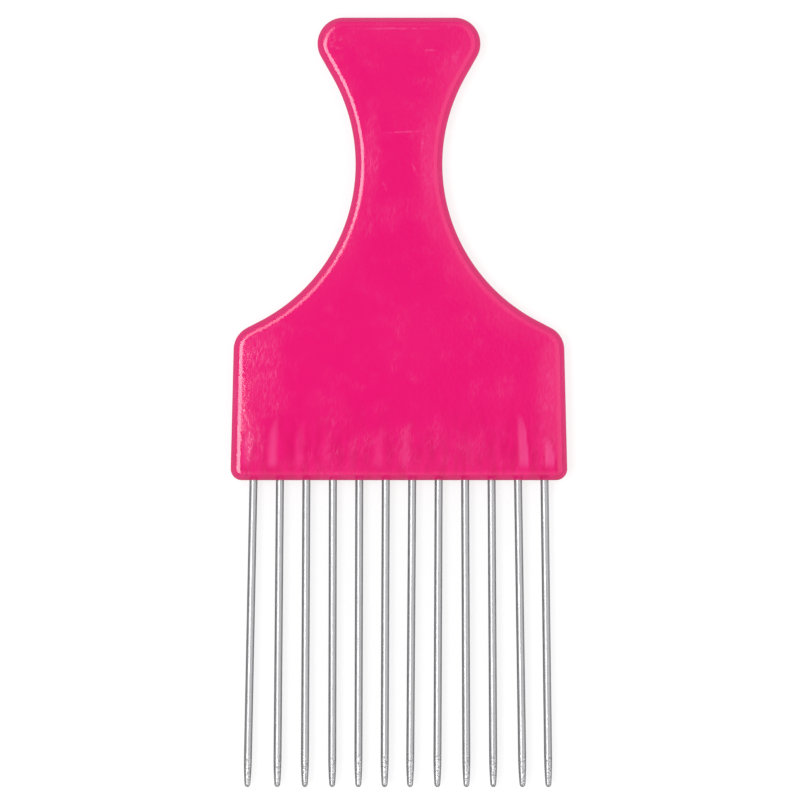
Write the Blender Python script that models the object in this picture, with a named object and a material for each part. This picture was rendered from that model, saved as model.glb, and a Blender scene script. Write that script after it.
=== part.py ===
# Hair lifting comb: one moulded plastic handle that holds a row of straight steel wire tines.
#
# The comb lies on its back. Z = 0 is the surface under it and +Z points out of its front face.
# +Y runs from the tips of the tines to the top of the handle, and X runs across the row.
# All lengths are in metres.

import math

import bmesh
import bpy
from mathutils import Matrix, Vector
from mathutils.geometry import intersect_point_line

# Row of tines
TINE_COUNT = 12
TINE_PITCH = 0.00612
TINE_REACH = 0.071
WIRE_DIAMETER = 0.00185
# Lean of each wire in its moulding, from -X to +X: a positive angle takes the tip towards +X
TINE_LEAN_DEGREES = (-1.15, -0.50, -0.30, -0.12, -0.18, -0.22, -0.40, -0.25, 0.25, 0.33, 0.85, 0.75)

# Ground end of a tine: a long slow taper, then a rounded nose
TAPER_LENGTH = 0.0069
NOSE_LENGTH = 0.0008
NOSE_DIAMETER_SHARE = 0.74
TAPER_SWELL_SHARE = 0.06

# Buried end of a tine: sheared square, with one pinched stretch that locks it in the plastic
TINE_BURIED = 0.0155
SHEAR_CHAMFER = 0.00015
CRIMP_LENGTH = 0.0036
CRIMP_SET_BACK = 0.0042
CRIMP_SPREAD_SHARE = 0.28
CRIMP_FLATTEN_SHARE = 0.22

# Moulded socket round each wire
SOCKET_CLEARANCE = 0.00005
CUT_OVERRUN = 0.002

# Handle, seen from the front
HANDLE_HEIGHT = 0.107
BASE_SIDE_MARGIN = 0.00528
BASE_FLARE = 0.00067
BASE_INNER_RADIUS = 0.00025
SHOULDER_HEIGHT = 0.0302
SHOULDER_RADIUS = 0.0057
SHOULDER_STRAIGHT = 0.0035
NECK_HEIGHT = 0.0731
NECK_WIDTH = 0.0201
TOP_STRAIGHT = 0.0055
TOP_WIDTH = 0.0377
TOP_RADIUS = 0.006

# Handle, seen on edge: a drafted wall, a bulging flank, a gentle lip and a slightly crowned face.
# The slopes are counted from the plane of the face.
HANDLE_THICKNESS = 0.007
WALL_DRAFT = 0.00007
WALL_SLOPE_DEGREES = 87
FLANK_WIDTH = 0.00117
FLANK_SLOPES_DEGREES = (62, 48)
FLANK_EDGE_RADIUS = 0.0003
LIP_SLOPE_DEGREES = 14
LIP_RADIUS = 0.0058
CROWN_RISE = 0.0002
CROWN_MARGIN = 0.006

# Fineness of the facets
WIRE_SIDES = 16
CORNER_STEP_DEGREES = 9
NECK_STEP_DEGREES = 4.5
CRIMP_STEPS = 4
NOSE_STEPS = 4
EDGE_STEPS = 2
FLANK_STEPS = 2
LIP_STEPS = 3
FACE_GRID = 0.003
GRID_SNAP = 0.00005
MERGE_DISTANCE = 0.000005
SHARP_DEGREES = 30

# Finishes: colour, roughness and metallic value
PLASTIC_FINISH = ((0.85, 0.012, 0.17), 0.22, 0.0)
STEEL_FINISH = ((0.62, 0.62, 0.63), 0.28, 1.0)

# Values that follow from the sizes above
WIRE_RADIUS = WIRE_DIAMETER / 2
MID_HEIGHT = HANDLE_THICKNESS / 2
BASE_Y = (TINE_REACH - HANDLE_HEIGHT) / 2
BASE_HALF_WIDTH = TINE_PITCH * (TINE_COUNT - 1) / 2 + BASE_SIDE_MARGIN
SHOULDER_HALF_WIDTH = BASE_HALF_WIDTH - BASE_FLARE
CROWN_SLOPE = math.atan(2 * CROWN_RISE / CROWN_MARGIN)


def clear_scene():
    for obj in list(bpy.data.objects):
        bpy.data.objects.remove(obj, do_unlink=True)


def make_material(name, finish):
    colour, roughness, metallic = finish
    material = bpy.data.materials.new(name)
    material.use_nodes = True
    shader = material.node_tree.nodes["Principled BSDF"]
    shader.inputs["Base Color"].default_value = (*colour, 1.0)
    shader.inputs["Roughness"].default_value = roughness
    shader.inputs["Metallic"].default_value = metallic
    return material


def add_object(name, bm, material=None):
    bmesh.ops.recalc_face_normals(bm, faces=bm.faces)
    mesh = bpy.data.meshes.new(name)
    bm.to_mesh(mesh)
    bm.free()
    mesh.shade_smooth()
    mesh.set_sharp_from_angle(angle=math.radians(SHARP_DEGREES))
    if material:
        mesh.materials.append(material)
    obj = bpy.data.objects.new(name, mesh)
    bpy.context.collection.objects.link(obj)
    return obj


# Curves in a plane

def direction(angle):
    return Vector((math.cos(angle), math.sin(angle)))


def arc_steps(start, end, step_degrees):
    return max(2, math.ceil(abs(end - start) / math.radians(step_degrees)))


def outer_arc(centre, radius, start, end, step_degrees):
    """Points of a convex arc, each with the outward normal of the outline there."""
    steps = arc_steps(start, end, step_degrees)
    normals = [direction(start + (end - start) * k / steps) for k in range(steps + 1)]
    return [(centre + radius * normal, normal) for normal in normals]


def inner_arc(centre, radius, start, end, step_degrees):
    """Points of a hollow arc, whose centre lies outside the outline."""
    return [(point, -normal) for point, normal in outer_arc(centre, radius, start, end, step_degrees)]


def hollow_arc(neck, corner, corner_radius, straight):
    """Centre and radius of the arc that leaves the neck upright, and the angle by which a
    straight run of the given length parts it from a corner's arc."""
    run = neck.x - corner.x
    rise = corner.y - neck.y
    square = run ** 2 + rise ** 2 - corner_radius ** 2 - straight ** 2
    radius = square / (2 * (corner_radius - run))
    return neck + Vector((radius, 0)), radius, math.atan2(straight, radius + corner_radius)


def angle_to(start, end):
    return math.atan2(end.y - start.y, end.x - start.x)


def easing_arc(radius, start_slope, end_slope, steps):
    """Steps (inset, rise) along an arc whose slope eases from one value to another."""
    slopes = [start_slope + (end_slope - start_slope) * k / steps for k in range(steps + 1)]
    return [radius * Vector((math.sin(low) - math.sin(high), math.cos(high) - math.cos(low)))
            for low, high in zip(slopes, slopes[1:])]


# Wire tines

def bump(distance):
    """1 at the middle of the crimp, falling smoothly to 0 at its two ends."""
    if abs(distance) >= CRIMP_LENGTH / 2:
        return 0.0
    return math.cos(math.pi * distance / CRIMP_LENGTH) ** 2


def crimp_stations():
    middle = TINE_BURIED - CRIMP_SET_BACK
    return [middle + CRIMP_LENGTH * (0.5 - k / CRIMP_STEPS) for k in range(CRIMP_STEPS + 1)]


def tine_profile():
    """Half outline (radius, place) of one wire, from its buried end down to its tip."""
    nose_radius = WIRE_RADIUS * NOSE_DIAMETER_SHARE
    taper_start = -(TINE_REACH - TAPER_LENGTH)
    nose_start = -(TINE_REACH - NOSE_LENGTH)
    swell = (WIRE_RADIUS + nose_radius) / 2 + WIRE_RADIUS * TAPER_SWELL_SHARE
    profile = [(0, TINE_BURIED), (WIRE_RADIUS - SHEAR_CHAMFER, TINE_BURIED)]
    profile.append((WIRE_RADIUS, TINE_BURIED - SHEAR_CHAMFER))
    profile += [(WIRE_RADIUS, y) for y in crimp_stations()]
    profile += [(WIRE_RADIUS, taper_start), (swell, (taper_start + nose_start) / 2)]
    for k in range(NOSE_STEPS):
        angle = math.pi / 2 * k / NOSE_STEPS
        profile.append((nose_radius * math.cos(angle), nose_start - NOSE_LENGTH * math.sin(angle)))
    profile.append((0, -TINE_REACH))
    return profile


def socket_profile():
    """The same wire grown by the clearance, from the end of its socket to below the mouth."""
    radius = WIRE_RADIUS + SOCKET_CLEARANCE
    depth = TINE_BURIED + SOCKET_CLEARANCE
    profile = [(0, depth), (radius, depth)]
    profile += [(radius, y) for y in crimp_stations()]
    profile += [(radius, -CUT_OVERRUN), (0, -CUT_OVERRUN)]
    return profile


def turn_wire(bm, profile, placement):
    """Turn a profile about the wire's axis, pinch its crimp and put it in place."""
    old = set(bm.verts)
    verts = [bm.verts.new((radius, y, 0)) for radius, y in profile]
    edges = [bm.edges.new(pair) for pair in zip(verts, verts[1:])]
    bmesh.ops.spin(bm, geom=verts + edges, cent=(0, 0, 0), axis=(0, 1, 0),
                   angle=math.tau, steps=WIRE_SIDES, use_merge=True)
    turned = [vert for vert in bm.verts if vert not in old]
    bmesh.ops.remove_doubles(bm, verts=turned, dist=MERGE_DISTANCE)
    turned = [vert for vert in bm.verts if vert not in old]
    for vert in turned:
        pinch = bump(vert.co.y - (TINE_BURIED - CRIMP_SET_BACK)) * WIRE_RADIUS
        side = Vector((vert.co.x, 0, vert.co.z))
        if pinch and side.length:
            side.normalize()
            vert.co.x += side.x * CRIMP_SPREAD_SHARE * pinch
            vert.co.z -= side.z * CRIMP_FLATTEN_SHARE * pinch
    bmesh.ops.transform(bm, matrix=placement, verts=turned)


def tine_placement(index):
    """Where a wire leaves the base edge, and how it leans there."""
    place = Matrix.Translation((TINE_PITCH * (index - (TINE_COUNT - 1) / 2), BASE_Y, MID_HEIGHT))
    lean = TINE_LEAN_DEGREES[index % len(TINE_LEAN_DEGREES)]
    return place @ Matrix.Rotation(math.radians(lean), 4, "Z")


def make_tines(parent):
    for index in range(TINE_COUNT):
        name = f"tine_{index + 1:02d}"
        bm = bmesh.new()
        turn_wire(bm, tine_profile(), Matrix.Identity(4))
        tine = add_object(name, bm, make_material(name + "_steel", STEEL_FINISH))
        tine.matrix_world = tine_placement(index)
        tine.parent = parent


def make_socket_cutter(parent):
    bm = bmesh.new()
    for index in range(TINE_COUNT):
        turn_wire(bm, socket_profile(), tine_placement(index))
    cutter = add_object("socket_cutter", bm)
    cutter.parent = parent
    cutter.hide_render = True
    cutter.display_type = "WIRE"
    return cutter


# Handle

def edge_profile():
    """Points (inset from the outline, height above the parting line) up to the face's edge."""
    wall_slope = math.radians(WALL_SLOPE_DEGREES)
    flank_foot, flank_top = (math.radians(slope) for slope in FLANK_SLOPES_DEGREES)
    lip_slope = math.radians(LIP_SLOPE_DEGREES)
    flank_radius = (FLANK_WIDTH - WALL_DRAFT) / (math.sin(flank_foot) - math.sin(flank_top))
    steps = easing_arc(FLANK_EDGE_RADIUS, wall_slope, flank_foot, EDGE_STEPS)
    steps += easing_arc(flank_radius, flank_foot, flank_top, FLANK_STEPS)
    steps += easing_arc(FLANK_EDGE_RADIUS, flank_top, lip_slope, EDGE_STEPS)
    steps += easing_arc(LIP_RADIUS, lip_slope, CROWN_SLOPE, LIP_STEPS)
    wall_height = HANDLE_THICKNESS / 2 - CROWN_RISE - sum(step.y for step in steps)
    profile = [Vector((0, 0)), Vector((WALL_DRAFT, wall_height))]
    for step in steps:
        profile.append(profile[-1] + step)
    return profile


def handle_outline(rim_width):
    """Right half of the front outline, base to top, as points with their outward normals."""
    base_radius = rim_width + BASE_INNER_RADIUS
    base = Vector((BASE_HALF_WIDTH - base_radius, base_radius))
    shoulder = Vector((SHOULDER_HALF_WIDTH - SHOULDER_RADIUS, SHOULDER_HEIGHT))
    neck = Vector((NECK_WIDTH / 2, NECK_HEIGHT))
    top = Vector((TOP_WIDTH / 2 - TOP_RADIUS, HANDLE_HEIGHT - TOP_RADIUS))
    side = shoulder - base
    lean = angle_to(base, shoulder) - math.acos((base_radius - SHOULDER_RADIUS) / side.length)
    lower, lower_radius, lower_turn = hollow_arc(neck, shoulder, SHOULDER_RADIUS, SHOULDER_STRAIGHT)
    upper, upper_radius, upper_turn = hollow_arc(neck, top, TOP_RADIUS, TOP_STRAIGHT)
    down = angle_to(shoulder, lower) - lower_turn
    up = angle_to(upper, top) + upper_turn
    corner = CORNER_STEP_DEGREES
    points = outer_arc(base, base_radius, -math.pi / 2, lean, corner)
    points += outer_arc(shoulder, SHOULDER_RADIUS, lean, down, corner)
    points += inner_arc(lower, lower_radius, down + math.pi, math.pi, NECK_STEP_DEGREES)
    points += inner_arc(upper, upper_radius, math.pi, up, NECK_STEP_DEGREES)[1:]
    points += outer_arc(top, TOP_RADIUS, up - math.pi, math.pi / 2, corner)
    return points


def full_outline(rim_width):
    right = handle_outline(rim_width)
    flip = Vector((-1, 1))
    return right + [(point * flip, normal * flip) for point, normal in reversed(right)]


def build_rim(bm, profile, outline):
    """Wall, flank and lip of the front half, ring by ring, and the flat face inside them."""
    rings = []
    for station in profile:
        points = [point - normal * station.x for point, normal in outline]
        rings.append([bm.verts.new((point.x, point.y, station.y)) for point in points])
    for low, high in zip(rings, rings[1:]):
        for k in range(len(low)):
            after = (k + 1) % len(low)
            bm.faces.new((low[k], low[after], high[after], high[k]))
    return bm.faces.new(rings[-1])


def cut_face_grid(bm, face):
    """Cut the face into a square grid, so that it can be crowned."""
    places = [vert.co.copy() for vert in face.verts]
    geom = [face, *face.edges, *face.verts]
    for axis, normal in enumerate((Vector((1, 0, 0)), Vector((0, 1, 0)))):
        first = math.ceil(min(place[axis] for place in places) / FACE_GRID)
        last = math.floor(max(place[axis] for place in places) / FACE_GRID)
        for k in range(first, last + 1):
            cut = bmesh.ops.bisect_plane(bm, geom=geom, dist=GRID_SNAP,
                                         plane_co=normal * (k * FACE_GRID), plane_no=normal)
            geom = cut["geom"]
    return [item for item in geom if isinstance(item, bmesh.types.BMFace)]


def nearest_distance(point, sides):
    nearest = math.inf
    for start, end in sides:
        foot, share = intersect_point_line(point, start, end)
        foot = start if share <= 0 else end if share >= 1 else foot.to_2d()
        nearest = min(nearest, (point - foot).length)
    return nearest


def crown_share(point, edge):
    """0 at the edge of the face, and 1 from the crown's margin inwards, along a parabola."""
    half = len(edge) // 2
    sides = list(zip(edge[:half], edge[1:half])) + list(zip(edge[half:], edge[half + 1:]))
    below = point.y - min(corner.y for corner in edge)
    above = max(corner.y for corner in edge) - point.y
    share = 1.0
    for distance in (nearest_distance(point, sides), below, above):
        reach = min(1.0, max(0.0, distance / CROWN_MARGIN))
        share *= 1 - (1 - reach) ** 2
    return share


def crown_face(bm, faces, edge, rise):
    """Lift the face over its margin to a flat land, which then becomes one face."""
    shares = {vert: 0.0 for face in faces for vert in face.verts}
    for vert in shares:
        shares[vert] = crown_share(vert.co.to_2d(), edge)
        vert.co.z += rise * shares[vert]
    land = [face for face in faces if all(shares[vert] == 1 for vert in face.verts)]
    bmesh.ops.dissolve_faces(bm, faces=land)


def make_handle(parent, cutter):
    profile = edge_profile()
    bm = bmesh.new()
    face = build_rim(bm, profile, full_outline(profile[-1].x))
    edge = [vert.co.to_2d() for vert in face.verts]
    crown_face(bm, cut_face_grid(bm, face), edge, HANDLE_THICKNESS / 2 - profile[-1].y)
    bmesh.ops.triangulate(bm, faces=[part for part in bm.faces if len(part.verts) > 3])
    handle = add_object("handle", bm, make_material("handle_plastic", PLASTIC_FINISH))
    handle.location = (0, BASE_Y, MID_HEIGHT)
    handle.parent = parent

    halves = handle.modifiers.new("two_mould_halves", "MIRROR")
    halves.use_axis = (False, False, True)
    halves.use_clip = True
    halves.merge_threshold = MERGE_DISTANCE
    sockets = handle.modifiers.new("tine_sockets", "BOOLEAN")
    sockets.operation = "DIFFERENCE"
    sockets.solver = "EXACT"
    sockets.object = cutter


def main():
    clear_scene()
    comb = bpy.data.objects.new("comb", None)
    bpy.context.collection.objects.link(comb)
    cutter = make_socket_cutter(comb)
    make_handle(comb, cutter)
    make_tines(comb)


main()
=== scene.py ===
import math

import bmesh
import bpy
from mathutils import Matrix, Vector
from mathutils.bvhtree import BVHTree


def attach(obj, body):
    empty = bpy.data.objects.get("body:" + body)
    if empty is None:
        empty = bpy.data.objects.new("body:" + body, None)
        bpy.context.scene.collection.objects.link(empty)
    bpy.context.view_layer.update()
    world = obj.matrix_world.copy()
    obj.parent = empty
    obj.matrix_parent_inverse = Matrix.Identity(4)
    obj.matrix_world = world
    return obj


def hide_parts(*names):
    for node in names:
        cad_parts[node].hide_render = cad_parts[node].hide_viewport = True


# Hair lifting comb: a glossy pink moulded handle with twelve ground steel wire tines
# +Y runs from the tips to the top of the handle, and Z = 0 is the table it lies on

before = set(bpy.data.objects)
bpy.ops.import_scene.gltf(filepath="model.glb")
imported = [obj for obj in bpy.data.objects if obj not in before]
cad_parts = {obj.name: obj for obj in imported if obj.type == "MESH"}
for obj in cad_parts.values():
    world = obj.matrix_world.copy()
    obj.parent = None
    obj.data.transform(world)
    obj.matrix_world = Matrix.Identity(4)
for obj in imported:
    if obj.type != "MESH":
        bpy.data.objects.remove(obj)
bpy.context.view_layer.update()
mm = 0.001
mergeGap = 0.001 * mm
sharpAngle = math.radians(35)              # edges that turn by more stay crisp


def hexColour(code):
    def linear(channel):
        return channel / 12.92 if channel <= 0.04045 else ((channel + 0.055) / 1.055) ** 2.4
    return tuple(linear(int(code[i:i + 2], 16) / 255) for i in (1, 3, 5)) + (1.0,)


def addNode(tree, kind, sockets=None, feeds=None, **settings):
    node = tree.nodes.new(kind)
    for name, value in settings.items():
        setattr(node, name, value)
    for name, value in (sockets or {}).items():
        if isinstance(value, bpy.types.Node):
            value = next(output for output in value.outputs if output.enabled)
        if isinstance(value, bpy.types.NodeSocket):
            tree.links.new(value, node.inputs[name])
        else:
            node.inputs[name].default_value = value
    if feeds:
        tree.links.new(next(output for output in node.outputs if output.enabled), feeds)
    return node


def startMaterial(name):
    material = bpy.data.materials.new(name)
    material.use_nodes = True
    tree = material.node_tree
    place = addNode(tree, "ShaderNodeTexCoord").outputs["Object"]
    return material, tree, tree.nodes["Principled BSDF"], place


def addMesh(bm, name, materials):
    mesh = bpy.data.meshes.new(name)
    bm.to_mesh(mesh)
    bm.free()
    mesh.shade_smooth()
    mesh.set_sharp_from_angle(angle=sharpAngle)
    for material in materials:
        mesh.materials.append(material)
    piece = bpy.data.objects.new(name, mesh)
    bpy.context.collection.objects.link(piece)
    return piece


# Camera, straight above the comb with a long lens
cameraSetup = {
    "lens": 200,                           # mm, on a 36 mm sensor
    "viewWidth": 185.1 * mm,               # width of the picture at the comb's own height
    "aim": (0.24 * mm, 0.57 * mm, 3.5 * mm),
}


def makeCamera():
    data = bpy.data.cameras.new("camera")
    data.sensor_width = 36
    data.lens = cameraSetup["lens"]
    data.clip_start = 0.01
    camera = bpy.data.objects.new("camera", data)
    distance = cameraSetup["viewWidth"] * data.lens / data.sensor_width
    camera.location = Vector(cameraSetup["aim"]) + Vector((0, 0, distance))
    bpy.context.collection.objects.link(camera)
    bpy.context.scene.camera = camera


makeCamera()
print("camera ready")


# Handle: sizes seen from the front
handleSizes = {
    "height": 107 * mm,                    # base edge to top edge
    "baseEdge": -18 * mm,                  # Y of the base edge
    "baseHalfWidth": 38.94 * mm,
    "baseRadius": 2.622 * mm,
    "shoulderHalfWidth": 38.27 * mm,
    "shoulderHeight": 30.2 * mm,
    "shoulderRadius": 5.7 * mm,
    "shoulderStraight": 3.5 * mm,          # straight run between shoulder and neck
    "neckHeight": 73.1 * mm,
    "neckWidth": 20.1 * mm,
    "topStraight": 5.5 * mm,
    "topWidth": 37.7 * mm,
    "topRadius": 6 * mm,
    # Seen on edge
    "thickness": 7 * mm,
    "wallDraft": 0.07 * mm,
    "flashWidth": 0.03 * mm,               # fine ridge where the two mould halves met
    "flashHeight": 0.05 * mm,
    "wallSlope": 87,                       # this and the next slopes in degrees from the face
    "flankWidth": 1.17 * mm,               # steep bulging band round the face
    "flankSlopes": (62, 48),
    "edgeRadius": 0.3 * mm,                # where the flank meets the wall, and the lip
    "lipSlope": 14,                        # outside, and it eases into the crown
    "lipRadius": 5.8 * mm,
    "crownRise": 0.2 * mm,
    "crownMargin": 6 * mm,
    # Sink marks: flame shaped hollows that the plastic left beside the buried wires as it shrank; the
    # paler colour beside them is partly hazy skin and partly painted sheen
    "markDepth": 0.045 * mm,
    "markStart": 2.4 * mm,                 # above the base edge
    "markFoot": 2 * mm,                    # height over which a mark comes in
    "leftMarks": 7,                        # as many wires, from -X, have theirs on the left
    "markWidths": (3.4 * mm, 2.4 * mm),    # of these soft ones, and of the others, which end crisply
    "markEdges": ((0.5, 0.5), (0.15, 0.88)),  # the paler colour, haze and painted sheen, is full, and starts to end, here on the width
    "markShares": (0.5, 0.75, 0.3, 0.15, 0.15, 0.3, 0.4, 0.1, 0.15, 0.1, 1.0, 1.0),  # of the depth
    "markTops": (12, 15, 14, 12, 12, 13, 14, 12, 12, 13, 15.5, 10),  # mm above the base edge
    # Fineness of the mesh
    "cornerStep": 4.5,                     # degrees
    "neckStep": 1.5,
    "rimSteps": (3, 5, 5, 8),              # round the wall's edge, the flank, the lip's edge and the lip
    "longestEdge": 2 * mm,
    # Skin rubbed hazy by handling: X and height above the base edge, half width, half length and strength
    "rubbedPlaces": (
        (-31 * mm, 27 * mm, 6 * mm, 17 * mm, 1.0),
        (-33.5 * mm, 9 * mm, 4 * mm, 10 * mm, 0.8),
        (-17 * mm, 14 * mm, 8 * mm, 14 * mm, 0.5),
        (4 * mm, 8 * mm, 24 * mm, 11 * mm, 0.35),
        (34.5 * mm, 19 * mm, 3.5 * mm, 20 * mm, 0.7),
        (17 * mm, 7 * mm, 6 * mm, 6 * mm, 0.5),
        (-6.3 * mm, 76 * mm, 3 * mm, 17 * mm, 0.8),
        (6.6 * mm, 73 * mm, 2.6 * mm, 14 * mm, 0.9),
        (-2 * mm, 61 * mm, 4 * mm, 6 * mm, 0.5),
        (12 * mm, 96 * mm, 3.5 * mm, 6 * mm, 0.6),
    ),
    "rubbedCore": 0.2,                     # share of a place, from its middle, that is fully rubbed
    "gridAcross": 0.4 * mm,                # spacing of the points of the face
    "gridAlong": 0.8 * mm,
    "gridSnap": 0.04 * mm,
}

# Wire tines
tineSizes = {
    "count": 12,
    "pitch": 6.12 * mm,
    "reach": 71 * mm,
    "radius": 0.925 * mm,
    "lean": (-1.15, -0.50, -0.30, -0.12, -0.18, -0.22, -0.40, -0.25, 0.25, 0.33, 0.85, 0.75),  # degrees
    "taperLength": 6.9 * mm,
    "taperSwell": 0.06,                    # share of the radius
    "noseLength": 0.8 * mm,
    "noseShare": 0.74,                     # nose radius as a share of the wire's
    "buried": 15.5 * mm,
    "chamfer": 0.15 * mm,
    "crimpLength": 3.6 * mm,
    "crimpSetBack": 4.2 * mm,
    "crimpSpread": 0.28,
    "crimpFlatten": 0.22,
    "socketGap": 0.05 * mm,
    "socketOverrun": 2 * mm,               # the socket cutters start outside the base edge
    "sides": 32,
    "crimpSteps": 8,
    "taperSteps": 6,
    "noseSteps": 8,
}


def tinePlacement(index):
    across = tineSizes["pitch"] * (index - (tineSizes["count"] - 1) / 2)
    place = Matrix.Translation((across, handleSizes["baseEdge"], handleSizes["thickness"] / 2))
    return place @ Matrix.Rotation(math.radians(tineSizes["lean"][index]), 4, "Z")


# Handle outline: each arc is one vertex spun round the arc's centre
def sweep(bm, start, centre, turn, stepDegrees):
    steps = max(2, math.ceil(abs(math.degrees(turn)) / stepDegrees))
    spun = bmesh.ops.spin(bm, geom=[start], cent=centre.to_3d(), axis=(0, 0, 1), angle=turn, steps=steps)
    return spun["geom_last"][0]


def straightTo(bm, start, end):
    corner = bm.verts.new(end.to_3d())
    bm.edges.new((start, corner))
    return corner


def angleTo(start, end):
    return math.atan2(end.y - start.y, end.x - start.x)


def onArc(centre, radius, angle):
    return centre + radius * Vector((math.cos(angle), math.sin(angle)))


def hollowArc(neck, corner, cornerRadius, straight):
    # Centre and radius of the hollow side that leaves the neck upright and meets the corner's
    # arc through a straight run, and the angle that this run takes up
    run, rise = neck.x - corner.x, corner.y - neck.y
    radius = (run ** 2 + rise ** 2 - cornerRadius ** 2 - straight ** 2) / (2 * (cornerRadius - run))
    return neck + Vector((radius, 0)), radius, math.atan2(straight, radius + cornerRadius)


def drawOutline(bm):
    s = handleSizes
    base = Vector((s["baseHalfWidth"] - s["baseRadius"], s["baseRadius"]))
    shoulder = Vector((s["shoulderHalfWidth"] - s["shoulderRadius"], s["shoulderHeight"]))
    neck = Vector((s["neckWidth"] / 2, s["neckHeight"]))
    top = Vector((s["topWidth"] / 2 - s["topRadius"], s["height"] - s["topRadius"]))
    side = (shoulder - base).length
    lean = angleTo(base, shoulder) - math.acos((s["baseRadius"] - s["shoulderRadius"]) / side)
    lower, lowerRadius, lowerTurn = hollowArc(neck, shoulder, s["shoulderRadius"], s["shoulderStraight"])
    upper, upperRadius, upperTurn = hollowArc(neck, top, s["topRadius"], s["topStraight"])
    down = angleTo(shoulder, lower) - lowerTurn
    up = angleTo(upper, top) + upperTurn
    vert = straightTo(bm, bm.verts.new((0, 0, 0)), onArc(base, s["baseRadius"], -math.pi / 2))
    vert = sweep(bm, vert, base, lean + math.pi / 2, s["cornerStep"])
    vert = straightTo(bm, vert, onArc(shoulder, s["shoulderRadius"], lean))
    vert = sweep(bm, vert, shoulder, down - lean, s["cornerStep"])
    vert = straightTo(bm, vert, onArc(lower, lowerRadius, down + math.pi))
    vert = sweep(bm, vert, lower, -down, s["neckStep"])
    vert = sweep(bm, vert, upper, up - math.pi, s["neckStep"])
    vert = straightTo(bm, vert, onArc(top, s["topRadius"], up - math.pi))
    vert = sweep(bm, vert, top, math.pi * 3 / 2 - up, s["cornerStep"])
    straightTo(bm, vert, Vector((0, s["height"])))
    for edge in bm.edges[:]:
        cuts = math.ceil(edge.calc_length() / s["longestEdge"]) - 1
        if cuts > 0:
            bmesh.ops.subdivide_edges(bm, edges=[edge], cuts=cuts)
    bmesh.ops.mirror(bm, geom=bm.verts[:] + bm.edges[:], axis="X", merge_dist=mergeGap)
    bmesh.ops.remove_doubles(bm, verts=bm.verts, dist=mergeGap)


# Handle section: the front face is inset step by step, over the wall, the flank and the lip
def roundedSteps(radius, fromSlope, toSlope, steps):
    slopes = [fromSlope + (toSlope - fromSlope) * k / steps for k in range(steps + 1)]
    return [(radius * (math.sin(a) - math.sin(b)), radius * (math.cos(b) - math.cos(a)))
            for a, b in zip(slopes, slopes[1:])]


def rimSteps():
    s = handleSizes
    crownSlope = math.atan(2 * s["crownRise"] / s["crownMargin"])
    slopes = (s["wallSlope"], *s["flankSlopes"], s["lipSlope"])
    wallSlope, lower, upper, lipSlope = (math.radians(slope) for slope in slopes)
    wallEdgeSteps, flankSteps, lipEdgeSteps, lipSteps = s["rimSteps"]
    corner = roundedSteps(s["edgeRadius"], wallSlope, lower, wallEdgeSteps)
    flankRadius = (s["flankWidth"] - s["wallDraft"]) / (math.sin(lower) - math.sin(upper))
    above = corner + roundedSteps(flankRadius, lower, upper, flankSteps)
    above += roundedSteps(s["edgeRadius"], upper, lipSlope, lipEdgeSteps)
    above += roundedSteps(s["lipRadius"], lipSlope, crownSlope, lipSteps)
    wallHeight = s["thickness"] / 2 - s["crownRise"] - sum(rise for inset, rise in above)
    flash = (s["flashWidth"], s["flashHeight"])
    return [flash, (s["wallDraft"] - flash[0], wallHeight - flash[1])] + above


def cutGrid(bm, face):
    geom = [face, *face.edges, *face.verts]
    spacing = (handleSizes["gridAcross"], handleSizes["gridAlong"])
    for axis, pitch in enumerate(spacing):
        normal = Vector((0, 0, 0))
        normal[axis] = 1
        places = [item.co[axis] for item in geom if isinstance(item, bmesh.types.BMVert)]
        for k in range(math.ceil(min(places) / pitch), math.floor(max(places) / pitch) + 1):
            cut = bmesh.ops.bisect_plane(bm, geom=geom, dist=handleSizes["gridSnap"],
                                         plane_co=normal * (k * pitch), plane_no=normal)
            geom = cut["geom"]
    return [item for item in geom if isinstance(item, bmesh.types.BMVert)]


def sideCurtain(rimEdges, bottom, top):
    # An upright strip along the two sides of the face, to measure distances to them
    curtain = bmesh.new()
    for edge in rimEdges:
        a, b = (vert.co.copy() for vert in edge.verts)
        if max(a.y, b.y) - bottom > mergeGap and top - min(a.y, b.y) > mergeGap:
            foot = curtain.edges.new((curtain.verts.new(a), curtain.verts.new(b)))
            raised = bmesh.ops.extrude_edge_only(curtain, edges=[foot])["geom"]
            raised = [item for item in raised if isinstance(item, bmesh.types.BMVert)]
            bmesh.ops.translate(curtain, vec=(0, 0, mm), verts=raised)
    tree = BVHTree.FromBMesh(curtain)
    curtain.free()
    return tree


def easeIn(distance, reach):
    share = min(1.0, max(0.0, distance / reach))
    return share * share * (3 - 2 * share)


def sinkMark(x, y):
    # How far the face has sunk here, and how much paler it is painted, partly for its hazy skin and partly
    # as painted sheen where the hollow catches the light, as shares of the deepest mark
    s, t = handleSizes, tineSizes
    sunk = hazeAndSheen = 0.0
    for index in range(t["count"]):
        height = y / (s["markTops"][index] * mm)
        if height < 1:
            crisp = index >= s["leftMarks"]
            width, (begun, ends) = s["markWidths"][crisp], s["markEdges"][crisp]
            foot = t["pitch"] * (index - (t["count"] - 1) / 2)
            wireX = foot - y * math.tan(math.radians(t["lean"][index]))
            across = (x - wireX if crisp else wireX - x) / (width * math.sqrt(1 - height ** 4))
            strength = s["markShares"][index] * (1 - height ** 6)
            sunk += strength * easeIn(across, 0.5) * (1 - easeIn(across - 0.5, 0.5))
            # Where the paler colour goes: partly the sunk skin's haze, partly painted sheen on the slope
            # that faces the light
            band = easeIn(across, begun) * (1 - easeIn(across - ends, 1 - ends))
            hazeAndSheen += strength * band * (0.5 + 0.5 * min(1, max(0, across)) if crisp else 1)
    start = easeIn(y - s["markStart"], s["markFoot"])
    return sunk * start, hazeAndSheen * start


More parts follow.
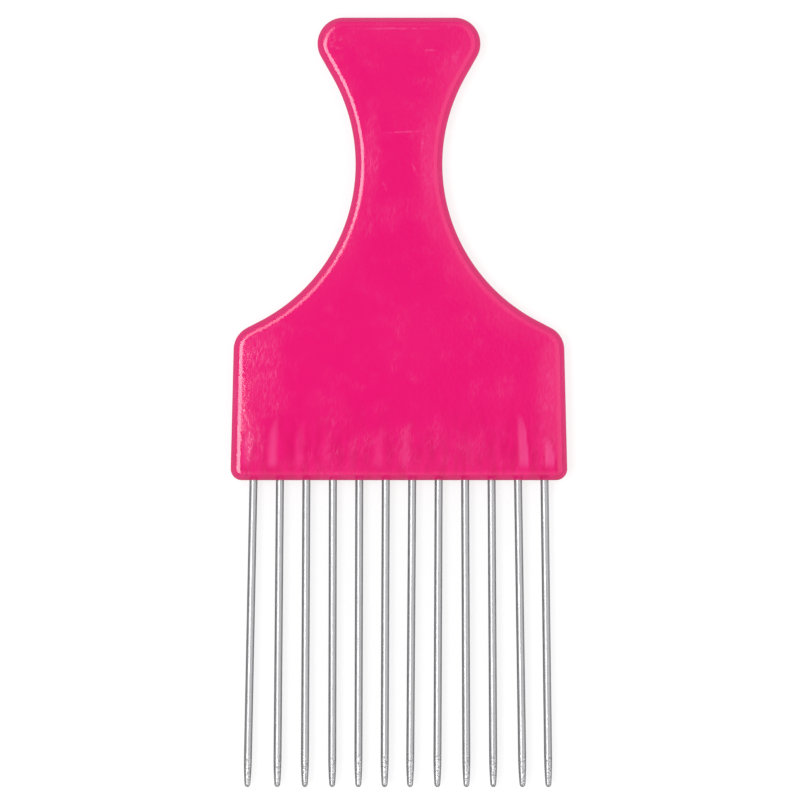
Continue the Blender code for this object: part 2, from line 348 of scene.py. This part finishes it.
def rubbedSkin(x, y):
    rubbed = 0.0
    for middleX, middleY, halfWidth, halfLength, strength in handleSizes["rubbedPlaces"]:
        away = math.hypot((x - middleX) / halfWidth, (y - middleY) / halfLength)
        fade = easeIn(away - handleSizes["rubbedCore"], 1 - handleSizes["rubbedCore"])
        rubbed = max(rubbed, strength * (1 - fade))
    return rubbed


def crownFace(bm, face):
    s = handleSizes
    hazeAndSheen, rubbed = (bm.verts.layers.float[name] for name in ("hazeAndSheen", "rubbed"))
    heights = [vert.co.y for vert in face.verts]
    bottom, top = min(heights), max(heights)
    curtain = sideCurtain(face.edges, bottom, top)
    rim = set(face.verts)
    rise = s["thickness"] / 2 - face.verts[0].co.z
    for vert in cutGrid(bm, face):
        if vert in rim:
            continue
        share = 1.0
        for distance in (curtain.find_nearest(vert.co)[3], vert.co.y - bottom, top - vert.co.y):
            share *= 1 - (1 - min(1.0, distance / s["crownMargin"])) ** 2
        sunk, vert[hazeAndSheen] = sinkMark(vert.co.x, vert.co.y)
        vert[rubbed] = rubbedSkin(vert.co.x, vert.co.y)
        vert.co.z += rise * share - s["markDepth"] * sunk


def makeHandle(plastic):
    bm = bmesh.new()
    for name in ("hazeAndSheen", "rubbed"):        # for the sink marks' paler colour, haze and painted sheen, and the handled places
        bm.verts.layers.float.new(name)
    drawOutline(bm)
    face = bmesh.ops.contextual_create(bm, geom=bm.edges[:])["faces"][0]
    if face.normal.z < 0:
        face.normal_flip()
    for inset, rise in rimSteps():
        bmesh.ops.inset_region(bm, faces=[face], thickness=inset, depth=rise,
                               use_boundary=True, use_even_offset=True)
    crownFace(bm, face)
    bmesh.ops.mirror(bm, geom=bm.verts[:] + bm.edges[:] + bm.faces[:], axis="Z", merge_dist=mergeGap)
    bmesh.ops.recalc_face_normals(bm, faces=bm.faces)
    bmesh.ops.translate(bm, vec=(0, handleSizes["baseEdge"], handleSizes["thickness"] / 2), verts=bm.verts)
    return addMesh(bm, "moulded_handle", [plastic])


# Wire: half its outline is spun round its own axis, and the buried crimp is pinched
def spinWire(bm, profile, index):
    t = tineSizes
    place = bm.verts.layers.float_vector.get("wirePlace") or bm.verts.layers.float_vector.new("wirePlace")
    old = set(bm.verts)
    verts = [bm.verts.new((radius, y, 0)) for radius, y in profile]
    edges = [bm.edges.new(pair) for pair in zip(verts, verts[1:])]
    bmesh.ops.spin(bm, geom=verts + edges, cent=(0, 0, 0), axis=(0, 1, 0), angle=math.tau,
                   steps=t["sides"], use_merge=True)
    bmesh.ops.remove_doubles(bm, verts=[v for v in bm.verts if v not in old], dist=mergeGap)
    turned = [v for v in bm.verts if v not in old]
    bmesh.ops.recalc_face_normals(bm, faces=list({f for v in turned for f in v.link_faces}))
    middle = t["buried"] - t["crimpSetBack"]
    for vert in turned:
        off = min(1.0, abs(vert.co.y - middle) / (t["crimpLength"] / 2))
        pinch = math.cos(math.pi / 2 * off) ** 2
        radius = math.hypot(vert.co.x, vert.co.z)
        if pinch and radius:
            vert.co.x *= 1 + t["crimpSpread"] * pinch * t["radius"] / radius
            vert.co.z *= 1 - t["crimpFlatten"] * pinch * t["radius"] / radius
    for vert in turned:
        vert[place] = vert.co + Vector((index * t["pitch"], 0, 0))
    bmesh.ops.transform(bm, matrix=tinePlacement(index), verts=turned)


def crimpStations():
    middle, steps = tineSizes["buried"] - tineSizes["crimpSetBack"], tineSizes["crimpSteps"]
    return [middle + tineSizes["crimpLength"] * (0.5 - k / steps) for k in range(steps + 1)]


def makeTine(index, steel):
    t = tineSizes
    nose = t["radius"] * t["noseShare"]
    taperStart, noseStart = t["taperLength"] - t["reach"], t["noseLength"] - t["reach"]
    profile = [(0, t["buried"]), (t["radius"] - t["chamfer"], t["buried"])]
    profile += [(t["radius"], y) for y in (t["buried"] - t["chamfer"], *crimpStations())]
    for k in range(t["taperSteps"]):       # the taper swells a little on its way to the nose
        share = k / t["taperSteps"]
        swell = 4 * share * (1 - share) * t["taperSwell"] * t["radius"]
        radius = t["radius"] + (nose - t["radius"]) * share + swell
        profile.append((radius, taperStart + (noseStart - taperStart) * share))
    for k in range(t["noseSteps"]):
        turn = math.pi / 2 * k / t["noseSteps"]
        profile.append((nose * math.cos(turn), noseStart - t["noseLength"] * math.sin(turn)))
    profile.append((0, -t["reach"]))
    bm = bmesh.new()
    spinWire(bm, profile, index)
    return addMesh(bm, f"wire_tine_{index + 1:02d}", [steel])


def cutSockets(handle):
    t = tineSizes
    radius, depth = t["radius"] + t["socketGap"], t["buried"] + t["socketGap"]
    profile = [(0, depth), (radius, depth)] + [(radius, y) for y in crimpStations()]
    profile += [(radius, -t["socketOverrun"]), (0, -t["socketOverrun"])]
    bm = bmesh.new()
    for index in range(t["count"]):
        spinWire(bm, profile, index)
    cutter = addMesh(bm, "socketCutter", [])
    sockets = handle.modifiers.new("sockets", "BOOLEAN")
    sockets.operation, sockets.solver, sockets.object = "DIFFERENCE", "EXACT", cutter
    cut = bpy.data.meshes.new_from_object(handle.evaluated_get(bpy.context.evaluated_depsgraph_get()))
    handle.modifiers.clear()
    handle.data = cut
    cut.set_sharp_from_angle(angle=sharpAngle)
    bpy.data.objects.remove(cutter, do_unlink=True)


# A Texture mapping turns the place first and stretches it after
def stretchedNoise(tree, place, size, detail=2.0, turn=0):
    scaled = addNode(tree, "ShaderNodeMapping", {
        "Vector": place, "Rotation": (0, 0, math.radians(turn)), "Scale": size}, vector_type="TEXTURE")
    return addNode(tree, "ShaderNodeTexNoise", {"Vector": scaled, "Scale": 1.0, "Detail": detail})


# Plastic: general purpose polystyrene, injection moulded in a polished tool. It gives an even, deep
# pink with a hard gloss, which slow waves, a faint mottle and the rubbed patches of use break up a little
plasticLook = {
    "colour": "#EC0972",
    "flowColour": "#DC0564",               # a little deeper where the melt folded round the wires
    "paleWearAndSheenColour": "#F2458C",               # where the skin is rubbed or scratched; beside the sink marks partly hazy skin and partly painted sheen, and on the top lip painted highlight
    "ior": 1.59,
    "roughness": (0.07, 0.13),             # clean, and dulled by handling
    "smudgeSize": 14 * mm,
    "smudgeLevels": (0.4, 0.7),            # levels of a noise from which its pattern starts, and is full
    "flowSize": (1.6 * mm, 7 * mm, 7 * mm),  # flow marks run up from the wires
    "flowLevels": (0.38, 0.62),
    "flowTop": 2 * mm,                     # Y where the flow marks have faded
    "flowFade": 14 * mm,
    "flowShare": 0.8,
    "waveSize": 9 * mm,
    "waveHeight": 0.05 * mm,
    "mottleSize": 0.9 * mm,                # uneven shrinkage
    "mottleHeight": 0.03 * mm,
    "rubbedSize": 5 * mm,                  # unevenness of the rubbed places
    "rubbedUneven": 0.35,
    "rubbedLevels": (0.5, 0.85),
    "rubbedPale": (0.1, 0.52),             # share of the pale colour there, between strokes and on them
    # Real strokes are under 0.05 mm wide, and are drawn as wide as a pixel needs
    "strokeSize": (0.28 * mm, 2.4 * mm, 2.4 * mm),
    "strokeLevels": (0.5, 0.68),
    "strokeTurns": (4, -24),               # degrees from the length of the comb
    "rubbedRoughness": 0.13,               # added where the skin is rubbed
    "rubbedDepth": 0.002 * mm,
    # Single scratches on the front, and two painted highlights on the lip: the long line along the top at
    # Y 86.5 and the band at X 13.8. X and Y of the middle, half length and half width in mm, and degrees
    # from +X. They too are drawn as wide as a pixel needs
    "scratchesAndHighlights": (
        (0.9, 62.6, 5.6, 0.28, 3.5),
        (7.5, 81.4, 2.0, 0.4, -4),
        (13.8, 80.6, 2.0, 0.6, 62),
        (-14.2, 82.2, 2.0, 0.6, -8),
        (3.9, 54.1, 2.1, 0.28, -62),
        (5.6, 60.1, 3.0, 0.3, 85),
        (-3.0, 50.0, 1.6, 0.3, -67),
        (-1.1, 86.5, 13.0, 0.26, 0),
    ),
    "scratchAndHighlightReach": 3 * mm,                # up and down from the front face
    "scratchAndHighlightPale": 1.1,                    # share of the pale colour in the middle of a scratch or painted highlight
    "scratchAndHighlightLevels": (0.35, 0.6),          # of the mottle that breaks a scratch or painted highlight up
    "wanderSize": 2.5 * mm,                # a scratch wanders as the hand does, and the painted highlights wander with them
    "wander": 0.5 * mm,
}


def mouldedPolystyrene():
    p = plasticLook
    material, tree, shader, place = startMaterial("mouldedPolystyrene")
    handled = addNode(tree, "ShaderNodeAttribute", attribute_name="rubbed").outputs["Fac"]
    # Paler colour beside the sink marks: partly their hazy skin, partly painted sheen
    hazeAndSheen = addNode(tree, "ShaderNodeAttribute", attribute_name="hazeAndSheen").outputs["Fac"]

    # Rubbed places: fine strokes that cross at a narrow angle
    patch = stretchedNoise(tree, place, (p["rubbedSize"],) * 3, 3.0)
    worn = addNode(tree, "ShaderNodeMath", {0: handled, 1: p["rubbedUneven"], 2: patch},
                   operation="MULTIPLY_ADD")
    wear = addNode(tree, "ShaderNodeMapRange", {
        "Value": worn, "From Min": p["rubbedLevels"][0], "From Max": p["rubbedLevels"][1]})
    strokes = [stretchedNoise(tree, place, p["strokeSize"], 5.0, turn) for turn in p["strokeTurns"]]
    crossed = addNode(tree, "ShaderNodeMath", {0: strokes[0], 1: strokes[1]}, operation="MAXIMUM")
    stroke = addNode(tree, "ShaderNodeMapRange", {
        "Value": crossed, "From Min": p["strokeLevels"][0], "From Max": p["strokeLevels"][1]})
    rubbed = addNode(tree, "ShaderNodeMath", {0: wear, 1: stroke}, operation="MULTIPLY")

    # Each single scratch, and each painted highlight on the lip, is a long thin ellipsoid, where it meets
    # the front face
    wander = stretchedNoise(tree, place, (p["wanderSize"],) * 3).outputs["Color"]
    wavy = addNode(tree, "ShaderNodeVectorMath", {
        0: wander, 1: (p["wander"], p["wander"], 0), 2: place}, operation="MULTIPLY_ADD")
    scratchedAndHighlit = 0.0
    for x, y, halfLength, halfWidth, turn in p["scratchesAndHighlights"]:
        along = addNode(tree, "ShaderNodeMapping", {
            "Vector": wavy, "Location": (x * mm, y * mm, handleSizes["thickness"]),
            "Rotation": (0, 0, math.radians(turn)),
            "Scale": (halfLength * mm, halfWidth * mm, p["scratchAndHighlightReach"])}, vector_type="TEXTURE")
        line = addNode(tree, "ShaderNodeTexGradient", {"Vector": along}, gradient_type="SPHERICAL")
        scratchedAndHighlit = addNode(tree, "ShaderNodeMath", {0: line.outputs["Fac"], 1: scratchedAndHighlit},
                            operation="MAXIMUM")
    broken = addNode(tree, "ShaderNodeMapRange", {
        "Value": stretchedNoise(tree, place, (p["mottleSize"],) * 3),
        "From Min": p["scratchAndHighlightLevels"][0], "From Max": p["scratchAndHighlightLevels"][1], "To Max": p["scratchAndHighlightPale"]})

    # Colour: soft flow marks run up the lower face, rubbed and scratched skin is paler, and so is the skin
    # beside the sink marks, partly for its haze and partly as painted sheen; the lines on the top lip are
    # painted highlights
    along = addNode(tree, "ShaderNodeSeparateXYZ", {"Vector": place}).outputs["Y"]
    low = addNode(tree, "ShaderNodeMapRange", {
        "Value": along, "From Min": p["flowTop"], "From Max": p["flowTop"] - p["flowFade"]})
    flow = addNode(tree, "ShaderNodeMapRange", {
        "Value": stretchedNoise(tree, place, p["flowSize"], 5.0),
        "From Min": p["flowLevels"][0], "From Max": p["flowLevels"][1], "To Max": p["flowShare"]})
    lowFlow = addNode(tree, "ShaderNodeMath", {0: low, 1: flow}, operation="MULTIPLY")
    flowed = addNode(tree, "ShaderNodeMix", {
        0: lowFlow, 6: hexColour(p["colour"]), 7: hexColour(p["flowColour"])}, data_type="RGBA")
    even = addNode(tree, "ShaderNodeMath", {0: handled, 1: p["rubbedPale"][0], 2: hazeAndSheen},
                   operation="MULTIPLY_ADD")
    marked = addNode(tree, "ShaderNodeMath", {0: scratchedAndHighlit, 1: broken, 2: even}, operation="MULTIPLY_ADD")
    pale = addNode(tree, "ShaderNodeMath", {0: rubbed, 1: p["rubbedPale"][1], 2: marked},
                   operation="MULTIPLY_ADD", use_clamp=True)
    addNode(tree, "ShaderNodeMix", {0: pale, 6: flowed, 7: hexColour(p["paleWearAndSheenColour"])},
            data_type="RGBA", feeds=shader.inputs["Base Color"])
    shader.inputs["IOR"].default_value = p["ior"]

    smudge = addNode(tree, "ShaderNodeMapRange", {
        "Value": stretchedNoise(tree, place, (p["smudgeSize"],) * 3, 5.0),
        "From Min": p["smudgeLevels"][0], "From Max": p["smudgeLevels"][1],
        "To Min": p["roughness"][0], "To Max": p["roughness"][1]})
    addNode(tree, "ShaderNodeMath", {0: rubbed, 1: p["rubbedRoughness"], 2: smudge},
            operation="MULTIPLY_ADD", feeds=shader.inputs["Roughness"])

    wave = addNode(tree, "ShaderNodeBump", {
        "Height": stretchedNoise(tree, place, (p["waveSize"],) * 3, 1.0), "Distance": p["waveHeight"]})
    mottle = addNode(tree, "ShaderNodeBump", {
        "Height": stretchedNoise(tree, place, (p["mottleSize"],) * 3, 3.0),
        "Distance": p["mottleHeight"], "Normal": wave})
    addNode(tree, "ShaderNodeBump", {"Height": rubbed, "Distance": p["rubbedDepth"], "Normal": mottle},
            feeds=shader.inputs["Normal"])
    return material


# Steel: spring steel wire, drawn bright through a die. It gives one long clear line of light, which
# faint draw lines and an uneven surface make waver
steelLook = {
    "colour": "#BDBDBF",
    "edgeTint": "#7C7C7C",
    "roughness": (0.3, 0.42),
    "drawLineWidth": 0.3 * mm,             # real ones are some 0.02 mm wide, drawn as a pixel needs
    "drawLineLength": 14 * mm,
    "drawLineDepth": 0.006 * mm,
    "unevenSize": 3 * mm,
    "unevenHeight": 0.05 * mm,
    "unevenLevels": (0.35, 0.65),          # levels of its noise between which the roughness changes
    # The tip is tapered on a grinding wheel, whose grit leaves a rough speckled shine: the pits are
    # painted darker as shade, and the grains' flats lighter as a painted glint
    "flatGlintColour": "#D8D8DA",
    "pitShadeColour": "#A4A4A6",
    "groundRoughness": (0.5, 0.2),         # in the pits and on the grains' flats
    "gritSize": 0.34 * mm,                 # real grit is some 0.1 mm, drawn as coarse as a pixel needs
    "gritDepth": 0.024 * mm,
    "flatLevels": (0.42, 0.58),            # of the grit's noise, from a pit to a grain's flat
    "groundFrom": 7.4 * mm,                # from the tip's end
    "groundFade": 1.2 * mm,
}


def drawnSteel():
    s = steelLook
    material, tree, shader, _ = startMaterial("drawnSteelWire")
    # Places along a straight wire, before it leans: its lines then follow it
    place = addNode(tree, "ShaderNodeAttribute", attribute_name="wirePlace").outputs["Vector"]
    lines = stretchedNoise(tree, place, (s["drawLineWidth"], s["drawLineLength"], s["drawLineWidth"]))
    uneven = stretchedNoise(tree, place, (s["unevenSize"],) * 3, 3.0)
    grit = stretchedNoise(tree, place, (s["gritSize"],) * 3)

    # The grinding starts in a ragged line, as the grit bites
    along = addNode(tree, "ShaderNodeSeparateXYZ", {"Vector": place}).outputs["Y"]
    ragged = addNode(tree, "ShaderNodeMath", {0: grit, 1: s["groundFade"], 2: along},
                     operation="MULTIPLY_ADD")
    edge = s["groundFrom"] - tineSizes["reach"]
    ground = addNode(tree, "ShaderNodeMapRange", {
        "Value": ragged, "From Min": edge + s["groundFade"], "From Max": edge})
    flats = addNode(tree, "ShaderNodeMapRange", {
        "Value": grit, "From Min": s["flatLevels"][0], "From Max": s["flatLevels"][1]})

    # Painted shade in the grit's pits and painted glint on its flats
    tipShadeAndGlint = addNode(tree, "ShaderNodeMix", {
        0: flats, 6: hexColour(s["pitShadeColour"]), 7: hexColour(s["flatGlintColour"])}, data_type="RGBA")
    addNode(tree, "ShaderNodeMix", {0: ground, 6: hexColour(s["colour"]), 7: tipShadeAndGlint},
            data_type="RGBA", feeds=shader.inputs["Base Color"])
    shader.inputs["Metallic"].default_value = 1.0
    shader.inputs["Specular Tint"].default_value = hexColour(s["edgeTint"])

    drawn = addNode(tree, "ShaderNodeMapRange", {
        "Value": uneven, "From Min": s["unevenLevels"][0], "From Max": s["unevenLevels"][1],
        "To Min": s["roughness"][0], "To Max": s["roughness"][1]})
    rough = addNode(tree, "ShaderNodeMapRange", {
        "Value": flats, "To Min": s["groundRoughness"][0], "To Max": s["groundRoughness"][1]})
    addNode(tree, "ShaderNodeMix", {0: ground, 2: drawn, 3: rough}, feeds=shader.inputs["Roughness"])

    waver = addNode(tree, "ShaderNodeBump", {"Height": uneven, "Distance": s["unevenHeight"]})
    lined = addNode(tree, "ShaderNodeBump", {
        "Height": lines, "Distance": s["drawLineDepth"], "Normal": waver})
    bite = addNode(tree, "ShaderNodeMath", {0: grit, 1: ground}, operation="MULTIPLY")
    addNode(tree, "ShaderNodeBump", {"Height": bite, "Distance": s["gritDepth"], "Normal": lined},
            feeds=shader.inputs["Normal"])
    return material


# Table and light
stageLook = {
    "floorColour": "#949494",              # greyer than the table is, so that its shadows stay faint
    "bounceColour": "#E6E6E6",             # the white table as it lights the sides of the comb
    "floorLift": 0.76,                     # light added to the floor alone, so that it reads white
    "mirroredLift": 0.3,                   # share of it in reflections, which show a greyer table
    "halfSize": 2,                         # m
}


def makeFloor():
    material, tree, shader, _ = startMaterial("paleTable")
    shader.inputs["Roughness"].default_value = 1.0
    shader.inputs["Specular IOR Level"].default_value = 0.0
    rays = addNode(tree, "ShaderNodeLightPath").outputs
    addNode(tree, "ShaderNodeMix", {
        0: rays["Is Diffuse Ray"], 6: hexColour(stageLook["floorColour"]),
        7: hexColour(stageLook["bounceColour"])}, data_type="RGBA", feeds=shader.inputs["Base Color"])
    mirrored = addNode(tree, "ShaderNodeMath", {0: rays["Is Glossy Ray"], 1: stageLook["mirroredLift"]},
                       operation="MULTIPLY")
    direct = addNode(tree, "ShaderNodeMath", {0: rays["Is Camera Ray"], 1: rays["Is Transmission Ray"]},
                     operation="MAXIMUM")
    seen = addNode(tree, "ShaderNodeMath", {0: direct, 1: mirrored}, operation="MAXIMUM")
    shader.inputs["Emission Color"].default_value = (1, 1, 1, 1)
    addNode(tree, "ShaderNodeMath", {0: seen, 1: stageLook["floorLift"]}, operation="MULTIPLY",
            feeds=shader.inputs["Emission Strength"])
    bm = bmesh.new()
    bmesh.ops.create_grid(bm, x_segments=1, y_segments=1, size=stageLook["halfSize"])
    addMesh(bm, "table", [material])


# Tilt turns a lamp from straight above towards -X, then bearing swings it round towards +Y, in
# degrees. Distance, width and height are in metres
lamps = {
    "leftSoftbox": {
        "tilt": 20.5, "bearing": -16, "distance": 0.9, "width": 0.235, "height": 0.6, "radiance": 6.3},
    "farSoftbox": {
        "tilt": 21.5, "bearing": 50, "distance": 0.9, "width": 0.19, "height": 0.2, "radiance": 3.1},
}


def makeLamp(name):
    lamp = lamps[name]
    data = bpy.data.lights.new(name, "AREA")
    data.shape = "RECTANGLE"
    data.size, data.size_y = lamp["width"], lamp["height"]
    data.energy = lamp["radiance"] * math.pi * lamp["width"] * lamp["height"]
    light = bpy.data.objects.new(name, data)
    light.matrix_world = (Matrix.Rotation(math.radians(-lamp["bearing"]), 4, "Z")
                          @ Matrix.Rotation(math.radians(-lamp["tilt"]), 4, "Y")
                          @ Matrix.Translation((0, 0, lamp["distance"])))
    light.visible_camera = False
    bpy.context.collection.objects.link(light)


# The room, as a mirror on the table shows it: a dark camera side overhead, brighter walls and a dark
# skyline. Greys stand by the sine of the angle from straight above, then by the way to the window,
# and then by the way to either end of the room
roomLook = {
    "greys": ((0.0, 0.18), (0.13, 0.7), (0.25, 1.03), (0.26, 1.77), (0.28, 1.77), (0.29, 1.11),
              (0.6, 1.16), (0.87, 0.9), (0.97, 0.45), (1.0, 0.22)),
    "length": 0.65,                        # the room is longer than it is wide
    "window": (0.99, -0.12, 0),            # the way to it
    "sides": ((0.0, 0.38), (0.135, 0.88), (0.3, 0.83), (0.38, 0.36), (0.465, 0.33),
              (0.565, 0.69), (0.7, 0.96), (0.865, 1.03), (0.94, 1.2), (1.0, 1.9)),
    "ends": ((0.0, 1.0), (0.45, 0.96), (0.6, 0.72), (0.85, 0.74), (1.0, 1.2)),
}


def setStops(ramp, stops):
    ramp.elements.remove(ramp.elements[1])
    for number, (place, grey) in enumerate(stops):
        stop = ramp.elements.new(place) if number else ramp.elements[0]
        stop.position, stop.color = place, (grey, grey, grey, 1)


def makeWorld():
    world = bpy.data.worlds.new("studioRoom")
    bpy.context.scene.world = world
    world.use_nodes = True
    tree = world.node_tree
    direction = addNode(tree, "ShaderNodeTexCoord").outputs["Generated"]
    split = addNode(tree, "ShaderNodeSeparateXYZ", {"Vector": direction}).outputs
    level = addNode(tree, "ShaderNodeCombineXYZ", {"X": split["X"], "Y": split["Y"]})
    long = addNode(tree, "ShaderNodeVectorMath", {0: level, 1: (1, roomLook["length"], 1)},
                   operation="MULTIPLY")
    offAxis = addNode(tree, "ShaderNodeVectorMath", {0: long}, operation="LENGTH").outputs["Value"]
    greys = addNode(tree, "ShaderNodeValToRGB", {"Fac": offAxis})
    setStops(greys.color_ramp, roomLook["greys"])
    windowward = addNode(tree, "ShaderNodeVectorMath", {0: level, 1: roomLook["window"]},
                         operation="DOT_PRODUCT")
    across = addNode(tree, "ShaderNodeMapRange", {"Value": windowward.outputs["Value"], "From Min": -1.0})
    sides = addNode(tree, "ShaderNodeValToRGB", {"Fac": across})
    setStops(sides.color_ramp, roomLook["sides"])
    room = addNode(tree, "ShaderNodeMix", {0: 1.0, 6: greys, 7: sides}, data_type="RGBA",
                   blend_type="MULTIPLY")
    toEnd = addNode(tree, "ShaderNodeMath", {0: split["Y"]}, operation="ABSOLUTE")
    ends = addNode(tree, "ShaderNodeValToRGB", {"Fac": toEnd})
    setStops(ends.color_ramp, roomLook["ends"])
    # The camera sees a plain white backdrop, and the room itself only shows in the gloss
    rays = addNode(tree, "ShaderNodeLightPath").outputs
    seen = addNode(tree, "ShaderNodeMath", {0: rays["Is Camera Ray"], 1: rays["Is Transmission Ray"]},
                   operation="MAXIMUM")
    addNode(tree, "ShaderNodeMix", {0: seen, 6: room, 7: (1, 1, 1, 1)}, data_type="RGBA",
            feeds=tree.nodes["Background"].inputs["Color"])
    addNode(tree, "ShaderNodeMix", {0: seen, 2: ends, 3: 1.0},
            feeds=tree.nodes["Background"].inputs["Strength"])


plastic = mouldedPolystyrene()
handle = makeHandle(plastic)
cutSockets(handle)
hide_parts("handle")
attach(handle, "root")
print("handle ready:", len(handle.data.polygons), "faces")

steel = drawnSteel()
for index in range(tineSizes["count"]):
    tine = makeTine(index, steel)
    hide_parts(f"tine_{index + 1:02d}")
    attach(tine, "root")
print("tines ready")

makeFloor()
makeWorld()
for name in lamps:
    makeLamp(name)
bpy.context.scene.view_settings.view_transform = "Standard"
print("light ready")
